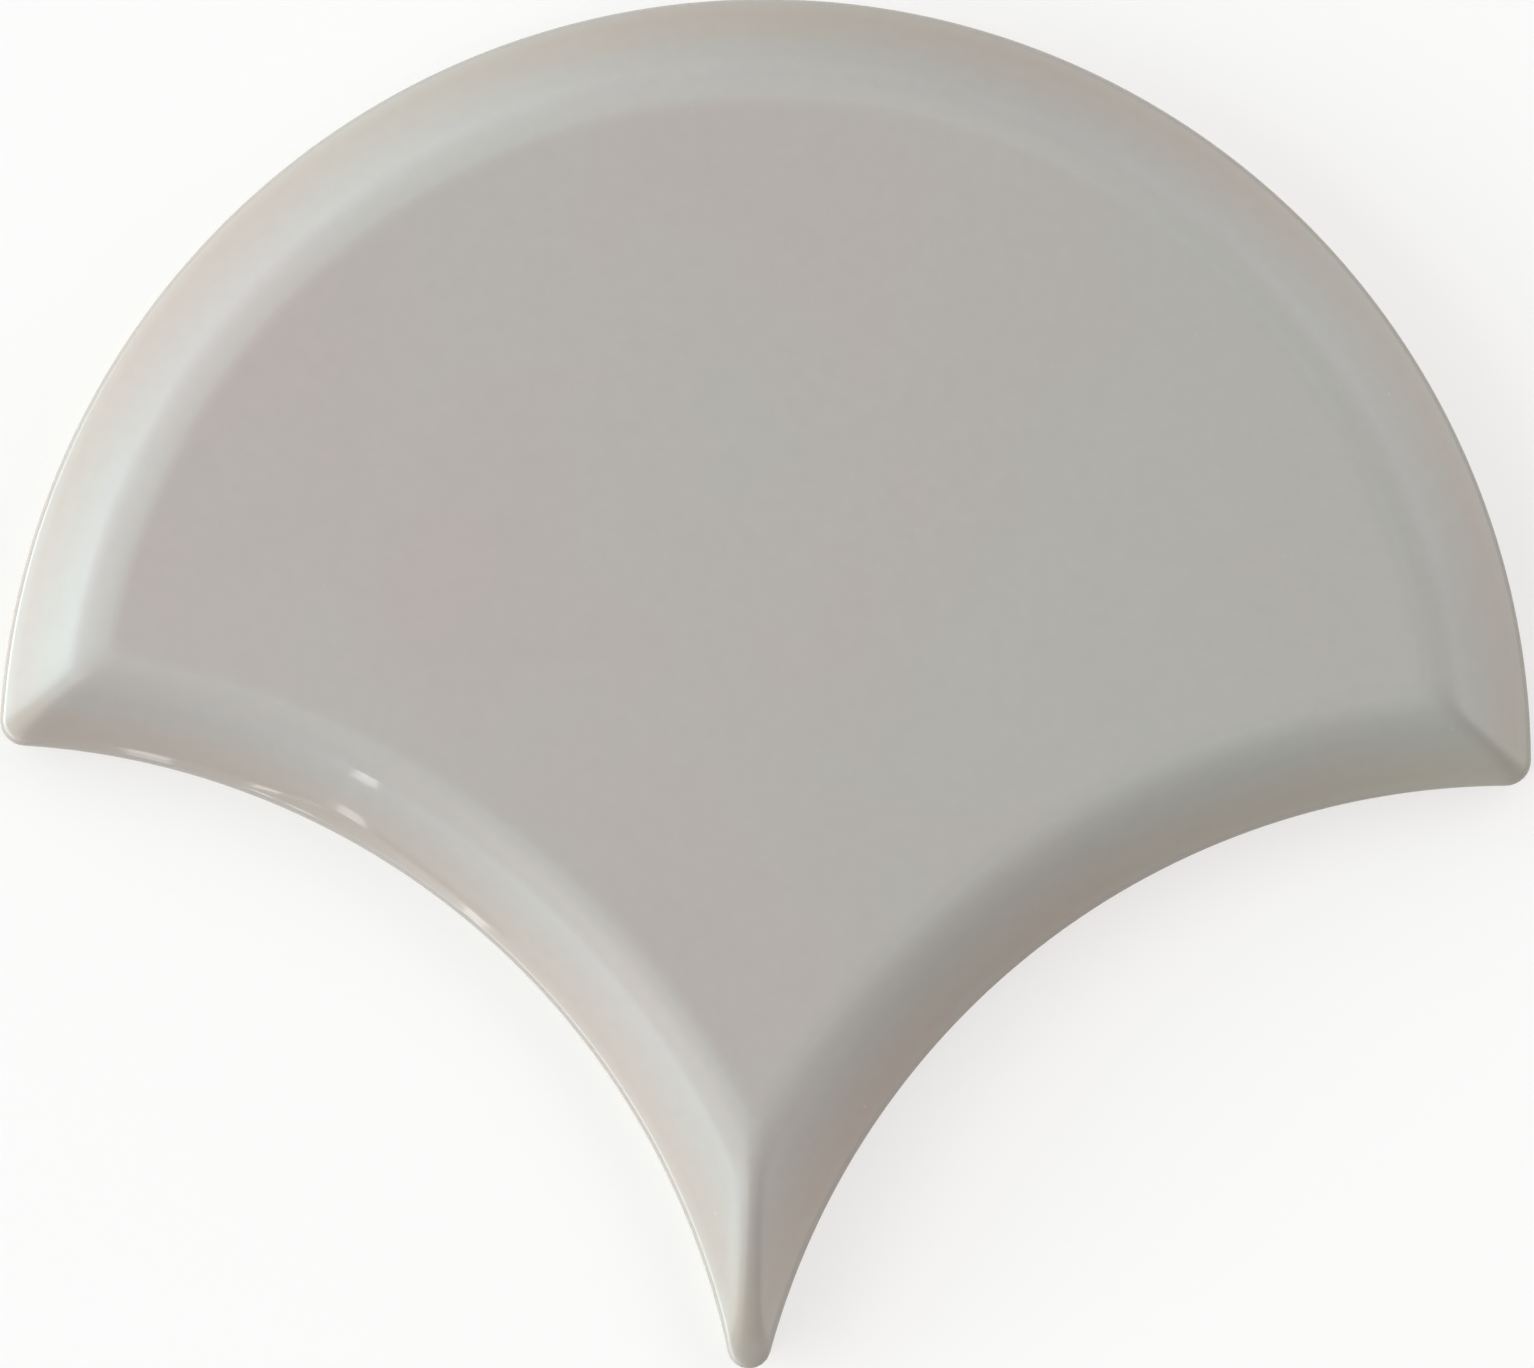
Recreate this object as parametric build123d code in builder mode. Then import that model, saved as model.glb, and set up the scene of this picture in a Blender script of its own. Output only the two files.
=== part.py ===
from build123d import *
from math import atan2, ceil, cos, pi, sin, sqrt, tan
import os

# Fish-scale wall tile: one pressed and fired piece of ceramic, in millimetres.
# It lies on its back with the glazed face up (+Z), its round top towards +Y and its
# point towards -Y. The origin is the middle of its bounding box, on the back face.

# Outline
scale_radius = 75.0  # the round top and both hollow sides, so that such tiles nest
corner_radius = 2.5  # rounding of the two side corners at the rim
tip_radius = 2.15  # rounding of the point at the rim

# Section from the rim to the flat
thickness = 10.0  # back face to the flat of the glazed face
bevel_width = 8.2  # rim to the line where the slope and the flat would meet
bevel_drop = 5.0  # fall of the slope over that width
rim_radius = 1.2  # rounding where the slope turns down into the upright edge
shoulder_radius = 9.0  # rounding where the slope runs out into the flat
back_arris = 0.5  # broken edge round the back face

# Ridges where the slopes meet, with their own rounding in plan. The roundings of the rim
# ease into these just above it.
corner_ridge_radius = 1.4
tip_ridge_radius = 0.9
ridge_ease = 2.5  # distance in from the rim at which the ridges have their own rounding

# Distance between the outlines that the glazed face is drawn through
level_spacing = 0.65

# Centre of the right hollow side, where the next tile has the centre of its round top
nest_centre = Vector(scale_radius, -scale_radius)


def toward(start, end, distance):
    """Point at a distance from start in the direction of end."""
    return start + (end - start).normalized() * distance


def mirrored(point):
    """The same point on the other half of the tile."""
    return Vector(-point.X, point.Y)


def corner_centre(inset, rounding):
    """Centre of a side corner: inside the round top and outside the hollow side."""
    to_top = scale_radius - inset - rounding
    to_side = scale_radius + inset + rounding
    spacing = nest_centre.length
    along = (to_top**2 - to_side**2 + spacing**2) / (2 * spacing)
    across = sqrt(to_top**2 - along**2)
    direction = nest_centre.normalized()
    return direction * along + direction.rotate(Axis.Z, 90) * across


def tip_centre(inset, rounding):
    """Centre of the point: midway between the hollow sides and outside both."""
    to_side = scale_radius + inset + rounding
    return Vector(0, sqrt(to_side**2 - scale_radius**2) - scale_radius)


def outline_at(height, inset, corner, tip):
    """Outline of the tile at a height, moved in from the rim and made of six arcs."""
    corner_middle = corner_centre(inset, corner)
    tip_middle = tip_centre(inset, tip)
    top = Vector(0, scale_radius - inset)
    top_end = toward(Vector(0, 0), corner_middle, scale_radius - inset)
    side_start = toward(nest_centre, corner_middle, scale_radius + inset)
    side_end = toward(nest_centre, tip_middle, scale_radius + inset)
    corner_point = toward(corner_middle, (top_end + side_start) / 2, corner)
    side_point = toward(nest_centre, (side_start + side_end) / 2, scale_radius + inset)
    tip_point = tip_middle - Vector(0, tip)
    with BuildSketch(Plane((0, -middle_y, height))) as level:
        with BuildLine():
            ThreePointArc(mirrored(top_end), top, top_end)
            ThreePointArc(top_end, corner_point, side_start)
            ThreePointArc(side_start, side_point, side_end)
            ThreePointArc(side_end, tip_point, mirrored(side_end))
            ThreePointArc(mirrored(side_end), mirrored(side_point), mirrored(side_start))
            ThreePointArc(mirrored(side_start), mirrored(corner_point), mirrored(top_end))
        make_face()
    return level.sketch.face()


def rounding_at(inset, rim_rounding, ridge_rounding):
    """Rounding of a corner in plan, eased from the rim's to the ridge's."""
    share = min(inset / ridge_ease, 1)
    return ridge_rounding + (rim_rounding - ridge_rounding) * (1 + cos(pi * share)) / 2


def even_steps(length):
    """Number of steps that keep the levels about one spacing apart."""
    return max(2, ceil(length / level_spacing))


# Middle of the tile, halfway from the round top down to the point
lowest_y = tip_centre(0, tip_radius).Y - tip_radius
middle_y = (scale_radius + lowest_y) / 2

# Section of the glazed face, as pairs of how far in from the rim and how high it is.
# The rounded rim turns from upright to the slope.
slope = atan2(bevel_drop, bevel_width)
rim_turn = pi / 2 - slope
rim_start = thickness - bevel_drop + rim_radius * tan(slope) - rim_radius / cos(slope)
rim_levels = []
rim_steps = even_steps(rim_radius * rim_turn)
for step in range(rim_steps + 1):
    turn = rim_turn * step / rim_steps
    inset = rim_radius * (1 - cos(turn))
    height = rim_start + rim_radius * sin(turn)
    rim_levels.append((inset, height))

# The rounded shoulder turns from the slope to the flat.
flat_inset = bevel_width + shoulder_radius * tan(slope / 2)
shoulder_levels = []
shoulder_steps = even_steps(shoulder_radius * slope)
for step in range(shoulder_steps + 1):
    turn = slope * (1 - step / shoulder_steps)
    inset = flat_inset - shoulder_radius * sin(turn)
    height = thickness - shoulder_radius * (1 - cos(turn))
    shoulder_levels.append((inset, height))

# The even slope joins them.
rim_end = Vector(*rim_levels[-1])
shoulder_start = Vector(*shoulder_levels[0])
slope_levels = []
slope_steps = even_steps((shoulder_start - rim_end).length)
for step in range(1, slope_steps):
    level = rim_end + (shoulder_start - rim_end) * (step / slope_steps)
    slope_levels.append((level.X, level.Y))

with BuildPart() as tile:
    # The upright edge, with the broken arris round the back
    add(outline_at(0, 0, corner_radius, tip_radius))
    extrude(amount=rim_start)
    chamfer(tile.faces().sort_by(Axis.Z)[0].edges(), length=back_arris)

    # The glazed face, drawn smoothly through one outline at each level
    outlines = []
    for inset, height in rim_levels + slope_levels + shoulder_levels:
        corner = rounding_at(inset, corner_radius, corner_ridge_radius)
        tip = rounding_at(inset, tip_radius, tip_ridge_radius)
        outlines.append(outline_at(height, inset, corner, tip))
    loft(outlines)

tile.part.label = "tile"
os.makedirs("parts", exist_ok=True)
export_step(tile.part, "parts/tile.step")
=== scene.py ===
# %% [markdown]
# A fish-scale wall tile, pressed, glazed and fired in one piece, lies on a pale floor and
# is seen from straight above. Its construction was drawn first, to real size, and is
# loaded here as a fixed frame. This lesson models the tile again with a finer mesh, gives
# it its glaze and its bare clay, and lights it.

# %% Load the frame
from math import atan2, cos, log, pi, radians, sin, sqrt, tan

import bmesh
import bpy
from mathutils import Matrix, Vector


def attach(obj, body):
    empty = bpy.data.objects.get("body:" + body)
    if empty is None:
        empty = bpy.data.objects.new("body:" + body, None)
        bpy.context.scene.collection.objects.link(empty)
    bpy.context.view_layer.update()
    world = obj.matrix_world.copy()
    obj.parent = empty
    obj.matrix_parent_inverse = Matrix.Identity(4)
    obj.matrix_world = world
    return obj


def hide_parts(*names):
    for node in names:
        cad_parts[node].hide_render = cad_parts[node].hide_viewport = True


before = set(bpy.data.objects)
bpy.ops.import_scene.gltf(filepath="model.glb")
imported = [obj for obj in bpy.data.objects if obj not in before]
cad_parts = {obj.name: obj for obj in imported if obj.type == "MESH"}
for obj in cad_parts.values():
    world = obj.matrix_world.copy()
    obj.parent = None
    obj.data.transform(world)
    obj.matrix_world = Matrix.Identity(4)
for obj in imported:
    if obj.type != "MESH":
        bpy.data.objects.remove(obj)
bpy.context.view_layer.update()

# %% [markdown]
# The camera comes first. The photograph looks straight down on the tile, which fills the
# frame from edge to edge and is turned a little clockwise. A long lens from high above
# gives that flat view. The camera is turned instead of the tile, so that the tile itself
# stays square to the axes.

# %% Camera
MM = 0.001
PHOTO_SPAN = 150.15 * MM  # what the photograph's width covers at the height of the rim
RIM_HEIGHT = 4.3 * MM  # height of the widest line of the tile, where its outline is seen
CAMERA_DISTANCE = 3000 * MM
SENSOR_WIDTH = 36.0  # in millimetres, as Blender counts it
TILE_TURN = radians(1.55)  # how far the tile is turned clockwise in the photograph

camera_data = bpy.data.cameras.new("camera")
camera_data.sensor_width = SENSOR_WIDTH
camera_data.lens = SENSOR_WIDTH * CAMERA_DISTANCE / PHOTO_SPAN
camera = bpy.data.objects.new("camera", camera_data)
camera.location = (0.0, 0.0, RIM_HEIGHT + CAMERA_DISTANCE)
camera.rotation_euler = (0.0, 0.0, TILE_TURN)
bpy.context.scene.collection.objects.link(camera)
bpy.context.scene.camera = camera
print("lens of", round(camera_data.lens), "mm,", CAMERA_DISTANCE, "m above the rim")

# %% [markdown]
# The outline of the tile is six arcs. The round top and both hollow sides have the same
# radius, so that the round top of one tile nests in the hollow sides of two others. The
# side corners and the point are rounded at the rim. Just above it those roundings ease
# into the smaller ones of the ridges, as a pressing die leaves them. Everything below is
# worked out from these sizes.

# %% Sizes of the tile
SCALE_RADIUS = 75.0 * MM  # the round top and both hollow sides
CORNER_RADIUS = 2.5 * MM
CORNER_RIDGE_RADIUS = 1.4 * MM
TIP_RADIUS = 2.15 * MM
TIP_RIDGE_RADIUS = 0.9 * MM
RIDGE_EASE = 2.5 * MM  # how far in from the outline the ridges have their own rounding
THICKNESS = 10.0 * MM
BEVEL_WIDTH = 8.2 * MM
BEVEL_DROP = 5.0 * MM
RIM_RADIUS = 1.2 * MM
SHOULDER_RADIUS = 9.0 * MM
BACK_ARRIS = 0.5 * MM

TOP_CENTRE = Vector((0.0, 0.0))
NEST_CENTRE = Vector((SCALE_RADIUS, -SCALE_RADIUS))


def corner_centre(inset, rounding):
    """Centre of the right corner's rounding: inside the top arc, outside the side arc."""
    to_top = SCALE_RADIUS - inset - rounding
    to_side = SCALE_RADIUS + inset + rounding
    spacing = NEST_CENTRE.length
    along = (to_top**2 - to_side**2 + spacing**2) / (2 * spacing)
    across = sqrt(to_top**2 - along**2)
    direction = NEST_CENTRE.normalized()
    return direction * along + Vector((-direction.y, direction.x)) * across


def tip_centre(inset, rounding):
    """Centre of the point's rounding: on the middle line, outside both side arcs."""
    to_side = SCALE_RADIUS + inset + rounding
    return Vector((0.0, sqrt(to_side**2 - SCALE_RADIUS**2) - SCALE_RADIUS))


LOWEST_Y = tip_centre(0.0, TIP_RADIUS).y - TIP_RADIUS
MIDDLE_Y = (SCALE_RADIUS + LOWEST_Y) / 2  # the tile's own middle, which goes to the origin
print("tile length", round((SCALE_RADIUS - LOWEST_Y) / MM, 2), "mm from the top to the point")

# %% [markdown]
# The section is a list of levels, each with how far in from the outline it lies and how
# high. From the back it goes up over the broken arris and the bare clay of the edge, out
# over the lip where the glaze ends, up the glazed edge, round the rim, up the even slope
# and round the wide soft shoulder to the flat. Each rounding is an arc, so it is stepped
# by angle. A level close inside each flat face keeps the shading of that face flat.

# %% Section of the tile
SKIN = 0.15 * MM  # how far the glaze stands out from the bare clay of the edge
GLAZE_END = 1.6 * MM  # height at which the glaze ends
LIP = 0.25 * MM  # height over which the end of the glaze rounds out
GLAZED_SPACING = 0.5 * MM  # between the levels of the upright edge just above the lip
CLAY_LEVEL = 1.12 * MM  # height of one more level on the bare upright edge
HOLD = 0.4 * MM  # distance from a flat's border to the level that keeps it flat
ARRIS_SHARES = ((1.0, 0.0), (0.45, 0.12), (0.12, 0.45), (0.0, 1.0))  # of its width and height
LIP_SHARES = ((0.35, 0.15), (0.05, 0.5), (0.0, 1.0))  # of the skin and of the lip's height
SLOPE_STEPS = 7
RIM_STEPS = 10
SHOULDER_STEPS = 16


def round_levels(inset, height, radius, first, last, steps):
    """Levels along an arc of the section, from one tilt of the surface to another."""
    arc = []
    for step in range(steps + 1):
        tilt = first + (last - first) * step / steps
        arc.append((inset - radius * sin(tilt), height + radius * cos(tilt)))
    return arc


slope = atan2(BEVEL_DROP, BEVEL_WIDTH)
rim_centre_height = THICKNESS - BEVEL_DROP + RIM_RADIUS * tan(slope) - RIM_RADIUS / cos(slope)
flat_inset = BEVEL_WIDTH + SHOULDER_RADIUS * tan(slope / 2)
rim = round_levels(RIM_RADIUS, rim_centre_height, RIM_RADIUS, pi / 2, slope, RIM_STEPS)
shoulder = round_levels(
    flat_inset, THICKNESS - SHOULDER_RADIUS, SHOULDER_RADIUS, slope, 0.0, SHOULDER_STEPS
)

foot = Vector(rim[-1])
head = Vector(shoulder[0])
even_slope = [tuple(foot.lerp(head, step / SLOPE_STEPS)) for step in range(1, SLOPE_STEPS)]

arris = [(SKIN + BACK_ARRIS * across, BACK_ARRIS * up) for across, up in ARRIS_SHARES]
clay_edge = [(SKIN + BACK_ARRIS + HOLD, 0.0), *arris, (SKIN, CLAY_LEVEL), (SKIN, GLAZE_END)]
lip = [(SKIN * across, GLAZE_END + LIP * up) for across, up in LIP_SHARES]
glazed_edge = lip + [(0.0, GLAZE_END + LIP + GLAZED_SPACING * step) for step in (1, 2)]
flat_border = [(flat_inset + HOLD, THICKNESS)]
levels = clay_edge + glazed_edge + rim + even_slope + shoulder + flat_border
print(len(levels), "levels; the flat starts", round(flat_inset / MM, 2), "mm in")

# %% [markdown]
# By hand, an arc is drawn by spinning one vertex round the arc's centre. A tiny plane
# merged to its middle gives that vertex. Four spins draw the right half of an outline:
# round top, side corner, hollow side and half the point. Each level is drawn as a small
# mesh of its own, because a spin slows down as the mesh that it works in grows.

# %% Draw one level of the right half
TOP_STEPS = 180
CORNER_STEPS = 8
SIDE_STEPS = 110
TIP_STEPS = 4
CHAIN = TOP_STEPS + CORNER_STEPS + SIDE_STEPS + TIP_STEPS + 1  # vertices in a level


def bearing(start, end):
    """Direction from one point to another, as an angle."""
    return atan2(end.y - start.y, end.x - start.x)


def deselect_all():
    """Leaves nothing selected, so that an operator acts only on what is made next."""
    for thing in bpy.context.selected_objects:
        thing.select_set(False)


def rounding_at(inset, rim_rounding, ridge_rounding):
    """Rounding of a corner in plan, eased from the rim's to the ridge's."""
    share = min(inset / RIDGE_EASE, 1.0)
    return ridge_rounding + (rim_rounding - ridge_rounding) * (1 + cos(pi * share)) / 2


def draw_level(inset, height):
    """Draws the right half of the outline at a level, as one chain of vertices."""
    corner_radius = rounding_at(inset, CORNER_RADIUS, CORNER_RIDGE_RADIUS)
    tip_radius = rounding_at(inset, TIP_RADIUS, TIP_RIDGE_RADIUS)
    corner = corner_centre(inset, corner_radius)
    tip = tip_centre(inset, tip_radius)
    top_turn = pi / 2 - bearing(TOP_CENTRE, corner)
    corner_turn = bearing(TOP_CENTRE, corner) - bearing(corner, NEST_CENTRE)
    side_turn = bearing(NEST_CENTRE, corner) - bearing(NEST_CENTRE, tip)
    tip_turn = bearing(tip, NEST_CENTRE) + pi / 2
    deselect_all()
    top_of_outline = (0.0, SCALE_RADIUS - inset - MIDDLE_Y, height)
    bpy.ops.mesh.primitive_plane_add(size=MM, location=top_of_outline)
    bpy.ops.object.transform_apply(location=True)
    bpy.ops.object.mode_set(mode="EDIT")
    bpy.ops.mesh.merge(type="CENTER")
    for centre, turn, steps in (
        (TOP_CENTRE, top_turn, TOP_STEPS),
        (corner, corner_turn, CORNER_STEPS),
        (NEST_CENTRE, side_turn, SIDE_STEPS),
        (tip, tip_turn, TIP_STEPS),
    ):
        bpy.ops.mesh.spin(
            steps=steps,
            angle=turn,
            center=(centre.x, centre.y - MIDDLE_Y, height),
            axis=(0.0, 0.0, 1.0),
        )
    bpy.ops.object.mode_set(mode="OBJECT")
    return bpy.context.object


print(CHAIN, "vertices in each level of the right half")

# %% [markdown]
# Each new level is joined to the tile and bridged to the level below it. That gives an
# even grid of quads that follows the rim, the slope and the shoulder, and an even grid
# is what makes a glossy surface reflect cleanly.

# %% Bridge the levels


def bridge_last_two(piece):
    """Fills the gap between the last two chains of a piece with a strip of quads."""
    bpy.ops.object.mode_set(mode="EDIT")
    bpy.ops.mesh.select_all(action="DESELECT")
    shape = bmesh.from_edit_mesh(piece.data)
    first = len(shape.verts) - 2 * CHAIN
    for vertex in shape.verts:
        vertex.select_set(vertex.index >= first)
    shape.select_flush(True)
    bpy.ops.mesh.bridge_edge_loops(type="SINGLE")
    bpy.ops.object.mode_set(mode="OBJECT")


tile = draw_level(*levels[0])
for inset, height in levels[1:]:
    draw_level(inset, height)
    tile.select_set(True)
    bpy.context.view_layer.objects.active = tile
    bpy.ops.object.join()
    bridge_last_two(tile)
tile.name = "fish_scale_tile"
tile.data.name = "fish_scale_tile"
print(len(tile.data.polygons), "faces in the right half")

# %% [markdown]
# Molten glaze rounds off whatever edge the die has left, so the ridges at the corners and
# at the point have no border to either side. A Smooth modifier does the same to the mesh. A
# vertex group keeps it to the ridges, from just above the rim to just below the flat, and
# fades it out at both ends, so that the outline of the tile stays as it was drawn.

# %% Mark the ridges
SOFT_REACH = 4  # how many vertices to each side of a ridge are softened too
SOFT_STOP = 3  # how many levels below the last one the softening has faded out
SOFT_FADE = 2  # over how many levels it fades

first_soft_level = len(clay_edge + glazed_edge + rim)
last_soft_level = len(levels) - 1 - SOFT_STOP
ridge_group = tile.vertex_groups.new(name="ridges")
for vertex in tile.data.vertices:
    level, place_in_level = divmod(vertex.index, CHAIN)
    from_corner = max(TOP_STEPS - place_in_level, place_in_level - TOP_STEPS - CORNER_STEPS, 0)
    from_tip = max(CHAIN - TIP_STEPS - 1 - place_in_level, 0)
    sideways = 1 - min(from_corner, from_tip) / (SOFT_REACH + 1)
    upwards = min(level - first_soft_level, last_soft_level - level) / SOFT_FADE
    weight = min(sideways, upwards, 1.0)
    if weight > 0:
        ridge_group.add([vertex.index], weight, "REPLACE")
print(sum(1 for vertex in tile.data.vertices if vertex.groups), "vertices on the ridges")

# %% [markdown]
# The left half is the mirror image of the right, so a Mirror modifier makes it and welds
# the two along the middle line, and the Smooth modifier then softens the ridges of both
# halves. The two open outlines, at the back and round the flat, are each filled with one
# face, and the normals are turned outwards. The faces below the end of the glaze, which
# will be bare clay, are noted.

# %% Mirror the half, soften the ridges and close the tile
CLOSE = 0.005 * MM  # points nearer than this are the same point
SOFT_STRENGTH = 0.5
SOFT_PASSES = 24

mirror = tile.modifiers.new("left half", "MIRROR")
mirror.use_mirror_merge = True
mirror.merge_threshold = CLOSE
bpy.ops.object.modifier_apply(modifier=mirror.name)

soften = tile.modifiers.new("softened ridges", "SMOOTH")
soften.factor = SOFT_STRENGTH
soften.iterations = SOFT_PASSES
soften.vertex_group = ridge_group.name
bpy.ops.object.modifier_apply(modifier=soften.name)
tile.vertex_groups.clear()


def fill_outline(height):
    """Closes the open outline at a height with one flat face."""
    bpy.ops.mesh.select_all(action="DESELECT")
    shape = bmesh.from_edit_mesh(tile.data)
    for edge in shape.edges:
        level = all(abs(vertex.co.z - height) < CLOSE for vertex in edge.verts)
        edge.select_set(level and edge.is_boundary)
    bpy.ops.mesh.edge_face_add()


bpy.ops.object.mode_set(mode="EDIT")
fill_outline(0.0)
fill_outline(THICKNESS)
bpy.ops.mesh.select_all(action="SELECT")
bpy.ops.mesh.normals_make_consistent(inside=False)
bpy.ops.object.mode_set(mode="OBJECT")
bpy.ops.object.shade_smooth()
bare_faces = [
    face.index
    for face in tile.data.polygons
    if all(tile.data.vertices[corner].co.z < GLAZE_END + CLOSE for corner in face.vertices)
]
print(len(tile.data.polygons), "faces in all,", len(bare_faces), "of them below the glaze")

# %% [markdown]
# Glaze runs a little before it sets, so the line where it ends is never quite straight. A
# Displace modifier with a soft clouds texture moves that line up and down. A vertex group
# keeps it to the lip, with half the strength on the levels beside it.

# %% Let the glaze end in a gentle wave
RUN = 0.9 * MM  # how far apart the highest and lowest places of the line may lie
RUN_LENGTH = 9.0 * MM  # size of the texture's clouds, and so of the waves
RUN_FADE = 0.6 * MM  # how far above and below the lip it has half the strength

lip_group = tile.vertex_groups.new(name="lip")
for vertex in tile.data.vertices:
    above = vertex.co.z - GLAZE_END
    if -CLOSE < above < LIP + CLOSE:
        lip_group.add([vertex.index], 1.0, "REPLACE")
    elif -RUN_FADE < above < LIP + RUN_FADE:
        lip_group.add([vertex.index], 0.5, "REPLACE")

waves = bpy.data.textures.new("runs of glaze", "CLOUDS")
waves.noise_scale = RUN_LENGTH
waves.noise_depth = 1
run = tile.modifiers.new("runs of glaze", "DISPLACE")
run.texture = waves
run.vertex_group = lip_group.name
run.direction = "Z"
run.strength = RUN
bpy.ops.object.modifier_apply(modifier=run.name)
tile.vertex_groups.clear()

check = bmesh.new()
check.from_mesh(tile.data)
open_edges = sum(1 for edge in check.edges if not edge.is_manifold)
volume = round(check.calc_volume() / MM**3)
print("closed tile:", len(check.faces), "faces,", open_edges, "open edges,", volume, "cubic mm")
check.free()

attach(tile, "root")
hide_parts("tile")

# %% [markdown]
# Materials are built from nodes. One function turns a colour written as sRGB hex into the
# linear colour that Blender works in. One adds a node with its settings and links, and one
# starts a material.

# %% Helpers for materials


def linear(hex_colour):
    """The linear colour of an sRGB hex value, with full alpha."""
    channels = [int(hex_colour[i:i + 2], 16) / 255 for i in (1, 3, 5)]
    colour = [c / 12.92 if c <= 0.04045 else ((c + 0.055) / 1.055) ** 2.4 for c in channels]
    return (*colour, 1.0)


def add_node(tree, kind, settings=None, **links):
    """Adds a node, sets its properties, and sets or links its inputs.

    An input is named by its own name, or by its number after an underscore.
    """
    node = tree.nodes.new(kind)
    for name, value in (settings or {}).items():
        setattr(node, name, value)
    for name, value in links.items():
        number = name[1:]
        socket = node.inputs[int(number) if number.isdigit() else name]
        if isinstance(value, bpy.types.NodeSocket):
            tree.links.new(value, socket)
        else:
            socket.default_value = value
    return node


def new_material(name):
    """An empty material with its shader, as (material, tree, shader)."""
    material = bpy.data.materials.new(name)
    material.use_nodes = True
    tree = material.node_tree
    return material, tree, tree.nodes["Principled BSDF"]


# %% [markdown]
# The glaze is a glossy warm grey: glass made cloudy and tinted, poured over the pressed
# clay and fired. While it is molten it draws away from the rim, so there it is thin and
# the warm clay shows through. It gathers on the slope, which looks cooler and greyer, and
# evens out on the flat. The colour therefore follows the height above the back. The rim
# and slope are also painted darker than the flat, and that part of their colour is painted shade.

# %% Glaze: colour by how thick the glaze lies, and painted shade on the bevel
# the darker greys towards the rim are partly glaze thickness and partly painted shade
TINTS_AND_SHADE = (  # how far in from the outline, in millimetres, and the glaze's colour there
    (0.4, "#AAA29B"),
    (1.5, "#A99E95"),
    (3.5, "#A8A19A"),
    (5.5, "#A9A5A1"),
    (7.5, "#B0ABA8"),
    (9.5, "#B7B3AE"),
    (10.7, "#B5AEAA"),
)


def height_at(inset):
    """Height of the glazed face at a distance in from the outline."""
    if inset >= flat_inset:
        return THICKNESS
    if inset > head.x:
        return THICKNESS - SHOULDER_RADIUS + sqrt(SHOULDER_RADIUS**2 - (flat_inset - inset) ** 2)
    return THICKNESS - BEVEL_DROP + inset * tan(slope)


glaze, tree, glaze_shader = new_material("warm_grey_glaze")
place = add_node(tree, "ShaderNodeTexCoord").outputs["Object"]
where = add_node(tree, "ShaderNodeSeparateXYZ", Vector=place).outputs
bevel_share = add_node(  # 0 at the foot of the slope and 1 at the height of the flat
    tree, "ShaderNodeMapRange", _0=where["Z"], _1=height_at(0.0), _2=THICKNESS, _3=0.0, _4=1.0
).outputs[0]
tint_and_shade_ramp = add_node(tree, "ShaderNodeValToRGB", _0=bevel_share)
stops = tint_and_shade_ramp.color_ramp.elements
stops.remove(stops[1])
for number, (inset, tint) in enumerate(TINTS_AND_SHADE):
    position = (height_at(inset * MM) - height_at(0.0)) / (THICKNESS - height_at(0.0))
    stop = stops.new(position) if number else stops[0]
    stop.position = position
    stop.color = linear(tint)
print("the glaze's colours lie at", [round(stop.position, 2) for stop in stops], "of the rise")

# %% [markdown]
# No glaze fires to one even colour. From the left of this tile to its right the grey turns
# a little cooler and darker. That is partly the glaze's tint and partly painted shade for light
# that comes from the left. Clouds a few centimetres across lean towards pink or towards
# green, and a much finer mottling of bubbles lies over them. All three multiply the colour
# by a tint that is close to white, so that they stay faint.

# %% Glaze: drift with painted shade, clouds and mottling
# the right side's cooler, darker tint is partly painted shade for light from the left
RIGHT_TINT_AND_SHADE = "#F0F9F4"
DRIFT_REACH = 60.0 * MM  # from the middle to where the drift is complete on either side
CLOUD_SIZE = 42.0 * MM
CLOUD_PLACE = (-0.4, -0.225, 0.325)  # where in the noise the tile lies, in metres
CLOUD_RANGE = (0.38, 0.62)  # the noise where a cloud is all green and all pink
PINK_CLOUD = "#FFFCFC"
GREEN_CLOUD = "#FDFFFE"
MOTTLE_SIZE = 1.6 * MM
MOTTLE_STRENGTH = 0.015
NOISE_RANGE = (0.3, 0.7)  # most of a noise lies between these
MIXED = {"data_type": "RGBA", "blend_type": "MIX"}  # from one colour to another
MULTIPLIED = {"data_type": "RGBA", "blend_type": "MULTIPLY"}  # one colour by another

across = add_node(
    tree, "ShaderNodeMapRange", _0=where["X"], _1=-DRIFT_REACH, _2=DRIFT_REACH, _3=0.0, _4=1.0
).outputs[0]
# painted shade and tint together: darker and cooler towards the right
drift_tint_and_shade = add_node(
    tree, "ShaderNodeMix", MIXED, _0=across, _6=linear("#FFFFFF"), _7=linear(RIGHT_TINT_AND_SHADE)
).outputs[2]
drifted_and_shaded = add_node(
    tree, "ShaderNodeMix", MULTIPLIED, _0=1.0, _6=tint_and_shade_ramp.outputs[0], _7=drift_tint_and_shade
).outputs[2]

cloud_place = add_node(
    tree, "ShaderNodeVectorMath", {"operation": "ADD"}, _0=place, _1=CLOUD_PLACE
).outputs[0]
clouds = add_node(
    tree, "ShaderNodeTexNoise", Vector=cloud_place, Scale=1 / CLOUD_SIZE, Detail=6.0
).outputs[0]
cloud_share = add_node(
    tree, "ShaderNodeMapRange", {"interpolation_type": "SMOOTHSTEP"},
    _0=clouds, _1=CLOUD_RANGE[0], _2=CLOUD_RANGE[1], _3=0.0, _4=1.0,
).outputs[0]
cloud_tint = add_node(
    tree, "ShaderNodeMix", MIXED, _0=cloud_share, _6=linear(GREEN_CLOUD), _7=linear(PINK_CLOUD)
).outputs[2]
clouded = add_node(
    tree, "ShaderNodeMix", MULTIPLIED, _0=1.0, _6=drifted_and_shaded, _7=cloud_tint
).outputs[2]

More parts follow.
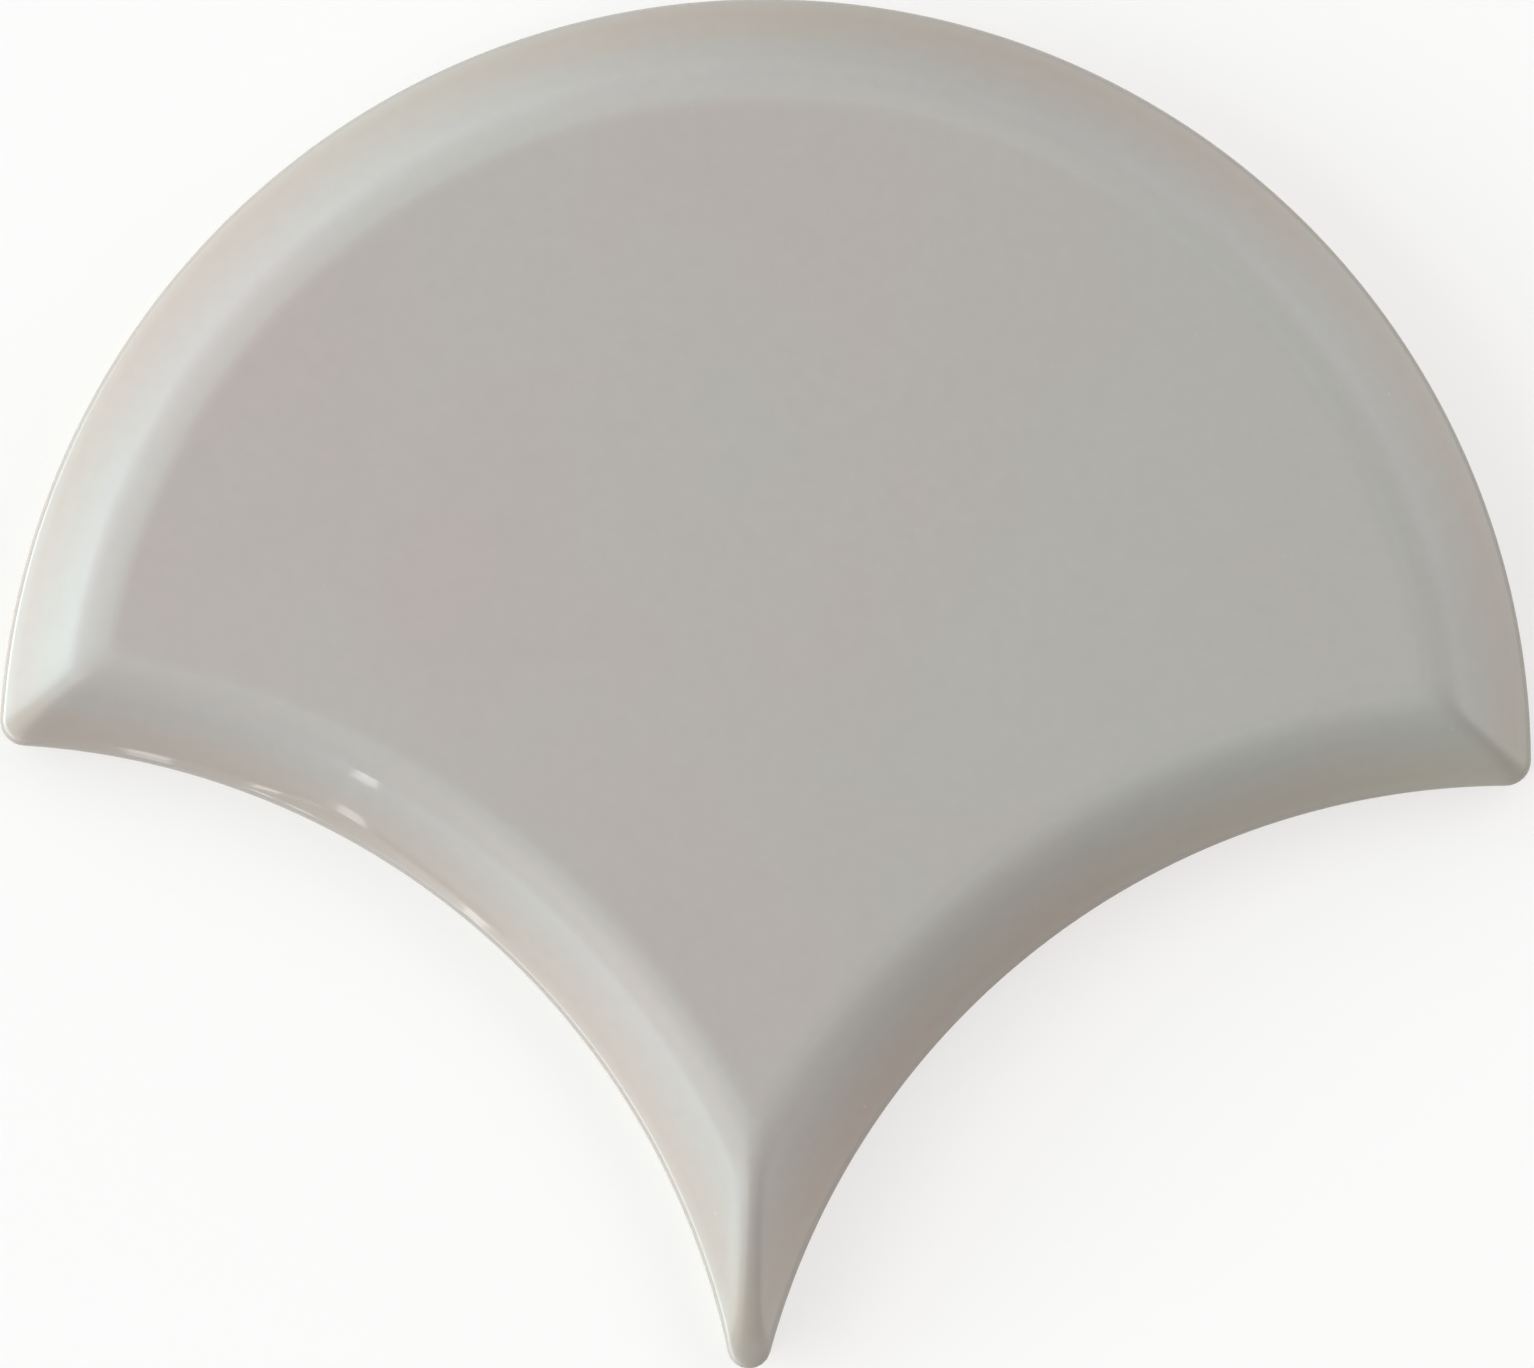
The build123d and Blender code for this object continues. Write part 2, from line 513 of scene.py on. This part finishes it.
bubbles = add_node(
    tree, "ShaderNodeTexNoise", Vector=place, Scale=1 / MOTTLE_SIZE, Detail=3.0, Roughness=0.6
).outputs[0]
mottle_gain = add_node(
    tree, "ShaderNodeMapRange", _0=bubbles, _1=NOISE_RANGE[0], _2=NOISE_RANGE[1],
    _3=1 - MOTTLE_STRENGTH, _4=1 + MOTTLE_STRENGTH,
).outputs[0]
mottle_tint = add_node(
    tree, "ShaderNodeCombineXYZ", _0=mottle_gain, _1=mottle_gain, _2=mottle_gain
).outputs[0]
mottled = add_node(
    tree, "ShaderNodeMix", MULTIPLIED, _0=1.0, _6=clouded, _7=mottle_tint
).outputs[2]

# %% [markdown]
# Looked at closely, a few tiny specks sit in the glaze: dark ones of iron from the clay,
# far apart, and paler pinheads where a bubble burst and healed. A Voronoi texture puts a
# dot in each of its cells, and a limit on the cell's random colour leaves many cells bare.

# %% Glaze: specks
DARK_SPACING = 13.0 * MM
DARK_RADIUS = 0.16 * MM
DARK_SHARE = 0.3  # of the cells that have a speck
DARK_DEPTH = 0.6  # how far a speck takes the glaze's colour to its own
PALE_SPACING = 5.0 * MM
PALE_RADIUS = 0.22 * MM
PALE_SHARE = 0.45
PALE_DEPTH = 0.2
DARK_SPECK = "#7D756C"
PALE_SPECK = "#BFBDB4"
DOT_BORDER = (0.6, 1.2)  # distances between which a dot fades out, in radii


def specks(tree, place, spacing, radius, share):
    """1 on small dots and 0 between them, with a dot in only a share of the cells."""
    cells = add_node(tree, "ShaderNodeTexVoronoi", Vector=place, Scale=1 / spacing)
    dot = add_node(
        tree, "ShaderNodeMapRange", _0=cells.outputs["Distance"],
        _1=DOT_BORDER[0] * radius / spacing, _2=DOT_BORDER[1] * radius / spacing, _3=1.0, _4=0.0,
    ).outputs[0]
    chance = add_node(tree, "ShaderNodeSeparateXYZ", Vector=cells.outputs["Color"]).outputs["X"]
    chosen = add_node(
        tree, "ShaderNodeMath", {"operation": "LESS_THAN"}, _0=chance, _1=share
    ).outputs[0]
    return add_node(tree, "ShaderNodeMath", {"operation": "MULTIPLY"}, _0=dot, _1=chosen).outputs[0]


pale_dots = specks(tree, place, PALE_SPACING, PALE_RADIUS, PALE_SHARE)
dark_dots = specks(tree, place, DARK_SPACING, DARK_RADIUS, DARK_SHARE)
pale_factor = add_node(
    tree, "ShaderNodeMath", {"operation": "MULTIPLY"}, _0=pale_dots, _1=PALE_DEPTH
).outputs[0]
dark_factor = add_node(
    tree, "ShaderNodeMath", {"operation": "MULTIPLY"}, _0=dark_dots, _1=DARK_DEPTH
).outputs[0]
with_pale = add_node(
    tree, "ShaderNodeMix", MIXED, _0=pale_factor, _6=mottled, _7=linear(PALE_SPECK)
).outputs[2]
speckled = add_node(
    tree, "ShaderNodeMix", MIXED, _0=dark_factor, _6=with_pale, _7=linear(DARK_SPECK)
).outputs[2]
tree.links.new(speckled, glaze_shader.inputs["Base Color"])

# %% [markdown]
# A fired glaze is glass, with the index of glass, and it is smooth but never optically
# flat. It keeps a long lazy wave from how it flowed, and a very fine skin like that of an
# orange. Two noises make that relief, and their heights are real heights in millimetres.

# %% Glaze: gloss and relief
GLAZE_IOR = 1.52
GLOSS_SIZE = 7.0 * MM  # of the patches that are a little more or less glossy
GLOSS_RANGE = (0.04, 0.07)  # lowest and highest roughness
WAVE_LENGTH = 11.0 * MM
WAVE_HEIGHT = 0.025 * MM
PEEL_LENGTH = 1.1 * MM
PEEL_HEIGHT = 0.0012 * MM

glaze_shader.inputs["IOR"].default_value = GLAZE_IOR
gloss_patches = add_node(
    tree, "ShaderNodeTexNoise", Vector=place, Scale=1 / GLOSS_SIZE, Detail=3.0
).outputs[0]
gloss = add_node(
    tree, "ShaderNodeMapRange", _0=gloss_patches, _1=NOISE_RANGE[0], _2=NOISE_RANGE[1],
    _3=GLOSS_RANGE[0], _4=GLOSS_RANGE[1],
).outputs[0]
tree.links.new(gloss, glaze_shader.inputs["Roughness"])
wave = add_node(
    tree, "ShaderNodeTexNoise", Vector=place, Scale=1 / WAVE_LENGTH, Detail=1.0
).outputs[0]
wave_relief = add_node(tree, "ShaderNodeBump", Strength=1.0, Distance=WAVE_HEIGHT, Height=wave)
peel = add_node(
    tree, "ShaderNodeTexNoise", Vector=place, Scale=1 / PEEL_LENGTH, Detail=1.0
).outputs[0]
peel_relief = add_node(
    tree, "ShaderNodeBump",
    Strength=1.0, Distance=PEEL_HEIGHT, Height=peel, Normal=wave_relief.outputs[0],
)

# %% [markdown]
# Along the lower left rim the photograph's glints lie a millimetre or two in from the edge,
# where an even slope would show none. The glaze has set there in a low roll that wanders a
# little. Its height is a hump over the distance in from the rim, whose middle is itself
# moved by a hump along the rim, and it fades out at both ends.

# %% Glaze: the low roll along the lower left rim
ROLL_HEIGHT = 0.02 * MM
ROLL_WIDTH = 0.4 * MM
ROLL_INSET = 1.2 * MM  # how far in from the rim its crest lies for most of its length
ROLL_SWING = 0.75 * MM  # how much farther in it swings at one place
SWING_X = -42.0 * MM  # where that place is
SWING_LENGTH = 6.0 * MM
ROLL_MIDDLE = (-44.0 * MM, -14.0 * MM, 7.0 * MM)
ROLL_REACH = 19.5 * MM  # from its middle to where it starts to fade out
ROLL_FADE = 4.0 * MM


def hump(tree, value, middle, width):
    """1 where a value is at the middle, fading out smoothly over a width to each side."""
    steps = (("SUBTRACT", middle), ("DIVIDE", width), ("POWER", 2.0), ("MULTIPLY", -1.0))
    fall = value
    for operation, operand in steps:
        fall = add_node(
            tree, "ShaderNodeMath", {"operation": operation}, _0=fall, _1=operand
        ).outputs[0]
    return add_node(tree, "ShaderNodeMath", {"operation": "EXPONENT"}, _0=fall).outputs[0]


inset_here = add_node(
    tree, "ShaderNodeMath", {"operation": "MULTIPLY"}, _0=bevel_share, _1=BEVEL_WIDTH
).outputs[0]
crest = add_node(
    tree, "ShaderNodeMath", {"operation": "MULTIPLY_ADD"},
    _0=hump(tree, where["X"], SWING_X, SWING_LENGTH), _1=ROLL_SWING, _2=ROLL_INSET,
).outputs[0]
from_middle = add_node(
    tree, "ShaderNodeVectorMath", {"operation": "DISTANCE"}, _0=place, _1=ROLL_MIDDLE
).outputs["Value"]
present = add_node(
    tree, "ShaderNodeMapRange", {"interpolation_type": "SMOOTHSTEP"},
    _0=from_middle, _1=ROLL_REACH, _2=ROLL_REACH + ROLL_FADE, _3=1.0, _4=0.0,
).outputs[0]
roll = add_node(
    tree, "ShaderNodeMath", {"operation": "MULTIPLY"},
    _0=hump(tree, inset_here, crest, ROLL_WIDTH), _1=present,
).outputs[0]
roll_relief = add_node(
    tree, "ShaderNodeBump",
    Strength=1.0, Distance=ROLL_HEIGHT, Height=roll, Normal=peel_relief.outputs[0],
)
tree.links.new(roll_relief.outputs[0], glaze_shader.inputs["Normal"])
print("the glaze is made of", len(tree.nodes), "nodes")

# %% [markdown]
# The back and the foot of the edge are bare biscuit: clay pressed from fine powder and
# fired once. It is buff and quite matt, with a sandy grain and small open pores.

# %% Bare clay
CLAY_LIGHT = "#BCB09E"
CLAY_DARK = "#AD9F8B"
CLAY_PORE = "#8C7D68"
CLAY_ROUGHNESS = 0.9
GRAIN_SIZE = 0.5 * MM
GRAIN_HEIGHT = 0.04 * MM
GRAIN_STRENGTH = 0.6
STAIN_SIZE = 18.0 * MM
BODY_RANGE = (0.35, 0.65)  # the grain and stain where the clay is all light and all dark
PORE_SPACING = 1.8 * MM
PORE_RADIUS = 0.14 * MM
PORE_SHARE = 0.5  # of the cells that have a pore

clay, tree, clay_shader = new_material("bare_biscuit_clay")
place = add_node(tree, "ShaderNodeTexCoord").outputs["Object"]
grain = add_node(
    tree, "ShaderNodeTexNoise", Vector=place, Scale=1 / GRAIN_SIZE, Detail=4.0, Roughness=0.65
).outputs[0]
stain = add_node(
    tree, "ShaderNodeTexNoise", Vector=place, Scale=1 / STAIN_SIZE, Detail=4.0
).outputs[0]
grain_and_stain = add_node(tree, "ShaderNodeMix", _0=0.5, _2=grain, _3=stain).outputs[0]
body_share = add_node(
    tree, "ShaderNodeMapRange",
    _0=grain_and_stain, _1=BODY_RANGE[0], _2=BODY_RANGE[1], _3=0.0, _4=1.0,
).outputs[0]
body = add_node(
    tree, "ShaderNodeMix", MIXED, _0=body_share, _6=linear(CLAY_LIGHT), _7=linear(CLAY_DARK)
).outputs[2]
pores = specks(tree, place, PORE_SPACING, PORE_RADIUS, PORE_SHARE)
clay_colour = add_node(
    tree, "ShaderNodeMix", MIXED, _0=pores, _6=body, _7=linear(CLAY_PORE)
).outputs[2]
tree.links.new(clay_colour, clay_shader.inputs["Base Color"])
clay_shader.inputs["Roughness"].default_value = CLAY_ROUGHNESS
grain_relief = add_node(
    tree, "ShaderNodeBump", Strength=GRAIN_STRENGTH, Distance=GRAIN_HEIGHT, Height=grain
)
tree.links.new(grain_relief.outputs[0], clay_shader.inputs["Normal"])
print("the bare clay is made of", len(tree.nodes), "nodes")

# %% [markdown]
# Both finishes are on one piece, because the real tile is one piece. The faces of the
# bare clay are those made by the section's first levels: they lie inside the glaze's
# skin, below its lip. They were noted before the lip was moved, and are given the second
# material.

# %% Put the finishes on the tile
tile.data.materials.append(glaze)
tile.data.materials.append(clay)
for face in bare_faces:
    tile.data.polygons[face].material_index = 1
print(len(bare_faces), "faces of bare clay,", len(tile.data.polygons) - len(bare_faces), "of glaze")

# %% [markdown]
# The floor is a plain sheet of white paper, large enough to reach past every view. The
# low light throws long shadows on it, which the photograph's clean white ground doesn't
# have. So the camera, and the camera alone, sees the paper partly as plain white, and the
# tile keeps a faint soft shadow.

# %% Floor
FLOOR_SIZE = 4.0
FLOOR_GAP = 0.05 * MM  # the paper lies this far under the tile
PAPER = "#F7F7F5"
PAPER_ROUGHNESS = 0.9
CLEANNESS = 0.6  # the share of plain white that the camera sees

deselect_all()
bpy.ops.mesh.primitive_plane_add(size=FLOOR_SIZE, location=(0.0, 0.0, -FLOOR_GAP))
floor = bpy.context.object
bpy.ops.object.transform_apply(location=True)
floor.name = "floor"
paper, tree, paper_shader = new_material("white_paper")
paper_shader.inputs["Base Color"].default_value = linear(PAPER)
paper_shader.inputs["Roughness"].default_value = PAPER_ROUGHNESS
seen = add_node(tree, "ShaderNodeLightPath").outputs["Is Camera Ray"]
clean_share = add_node(
    tree, "ShaderNodeMath", {"operation": "MULTIPLY"}, _0=seen, _1=CLEANNESS
).outputs[0]
white = add_node(tree, "ShaderNodeEmission", Color=linear("#FFFFFF"), Strength=1.0).outputs[0]
cleaned = add_node(
    tree, "ShaderNodeMixShader", _0=clean_share, _1=paper_shader.outputs[0], _2=white
)
tree.links.new(cleaned.outputs[0], tree.nodes["Material Output"].inputs["Surface"])
floor.data.materials.append(paper)
print("floor", FLOOR_SIZE, "m square")

# %% [markdown]
# The photograph's light is soft and comes in low. Most of it is a long window on the left,
# brightest in its middle. A warm patch of ceiling lies above its near end. On the right are
# a bright wall and, towards the back, a second window. Soft light with no hard edge is
# easiest to make in the world's own nodes. For each lamp, the dot product of a ray's
# direction with the lamp's direction is turned into a glow that fades out smoothly, and the
# glows are added up. Together they light a level surface so that a flat colour renders
# about as it is written.

# %% Light
LAMPS = (  # what it is, azimuth, elevation and half width in degrees, strength, colour
    ("window", 178, 3, 19.2, 12.0, "#E7FCFF"),
    ("window's near end", 219, 8, 17.7, 5.14, "#FFF5FA"),
    ("window's far end", 132, 12, 23.2, 2.43, "#FEFFFC"),
    ("pale ceiling", 222, 50, 10.5, 1.62, "#FFD6B9"),
    ("bright wall", 348, 31, 13.5, 1.62, "#FFFBEE"),
    ("second window", 33, 25, 27.7, 2.22, "#FEF8FF"),
)


def toward(azimuth, elevation):
    """Direction towards a lamp, from its azimuth and elevation in radians."""
    level = cos(elevation)
    return Vector((cos(azimuth) * level, sin(azimuth) * level, sin(elevation)))


world = bpy.data.worlds.new("studio")
world.use_nodes = True
bpy.context.scene.world = world
tree = world.node_tree
ray = add_node(tree, "ShaderNodeTexCoord").outputs["Generated"]
light = (0.0, 0.0, 0.0)
for name, azimuth, elevation, half_width, strength, colour in LAMPS:
    direction = toward(radians(azimuth), radians(elevation))
    sharpness = log(2) / (1 - cos(radians(half_width)))
    power = [strength * channel for channel in linear(colour)[:3]]
    facing = add_node(
        tree, "ShaderNodeVectorMath", {"operation": "DOT_PRODUCT", "label": name},
        _0=ray, _1=direction,
    ).outputs["Value"]
    fade = add_node(
        tree, "ShaderNodeMath", {"operation": "MULTIPLY_ADD"},
        _0=facing, _1=sharpness, _2=-sharpness,
    ).outputs[0]
    glow = add_node(tree, "ShaderNodeMath", {"operation": "EXPONENT"}, _0=fade).outputs[0]
    light = add_node(
        tree, "ShaderNodeVectorMath", {"operation": "MULTIPLY_ADD"}, _0=glow, _1=power, _2=light
    ).outputs[0]
print(len(LAMPS), "soft lamps in the world")

# %% [markdown]
# A few small lamps far away show in the gloss as glints. A compact one makes the spot on
# the left of the two hollow sides, where the slope begins to level out. Four more draw
# short bright streaks along the low roll, whose outer side curves so tightly that it
# squeezes them thin. They are kept to reflections, so that they don't change how light
# the tile is.

# %% Small far lamps
GLINTS = (  # azimuth, lowest and highest elevation and width in degrees, watts per square metre
    (242.9, 27.2, 33.5, 1.5, 14.4),
    (257.5, 12.0, 22.3, 3.2, 14.0),
    (249, 12.0, 22.5, 1.8, 14.4),
    (246, 12.0, 22.5, 1.8, 14.0),
    (231.5, 12.0, 22.5, 1.7, 12.8),
)
GLINT_DISTANCE = 20.0

for azimuth, lowest, highest, width, power in GLINTS:
    around = radians(azimuth)
    up = radians((lowest + highest) / 2)
    bpy.ops.object.light_add(
        type="AREA",
        location=GLINT_DISTANCE * toward(around, up),
        rotation=(pi / 2 - up, 0.0, around + pi / 2),
    )
    bpy.context.object.visible_diffuse = False
    lamp = bpy.context.object.data
    lamp.shape = "RECTANGLE"
    lamp.size = GLINT_DISTANCE * radians(width)
    lamp.size_y = GLINT_DISTANCE * radians(highest - lowest)
    lamp.energy = power * lamp.size * lamp.size_y
print(len(GLINTS), "small lamps,", GLINT_DISTANCE, "m away")

# %% [markdown]
# What stands behind the tile in a side view is a white backdrop, of strength 1, and not
# the lamps. The camera sees only the backdrop. The glaze reflects it too, with the lamps
# on top. Surfaces are lit by the lamps and the room's own light alone.

# %% Backdrop
ROOM = 0.12  # the light from everywhere else
BACKDROP = 1.0

path = add_node(tree, "ShaderNodeLightPath").outputs
mirrored = add_node(
    tree, "ShaderNodeMath", {"operation": "MAXIMUM"},
    _0=path["Is Glossy Ray"], _1=path["Is Transmission Ray"],
).outputs[0]
sees_backdrop = add_node(
    tree, "ShaderNodeMath", {"operation": "MAXIMUM"}, _0=path["Is Camera Ray"], _1=mirrored
).outputs[0]
backdrop = add_node(
    tree, "ShaderNodeMapRange", _0=sees_backdrop, _1=0.0, _2=1.0, _3=ROOM, _4=BACKDROP
).outputs[0]
not_camera = add_node(
    tree, "ShaderNodeMath", {"operation": "SUBTRACT"}, _0=1.0, _1=path["Is Camera Ray"]
).outputs[0]
total = add_node(
    tree, "ShaderNodeVectorMath", {"operation": "MULTIPLY_ADD"},
    _0=light, _1=not_camera, _2=backdrop,
).outputs[0]
tree.links.new(total, tree.nodes["Background"].inputs["Color"])
print("the world is made of", len(tree.nodes), "nodes")

bpy.context.scene.view_settings.view_transform = "Standard"
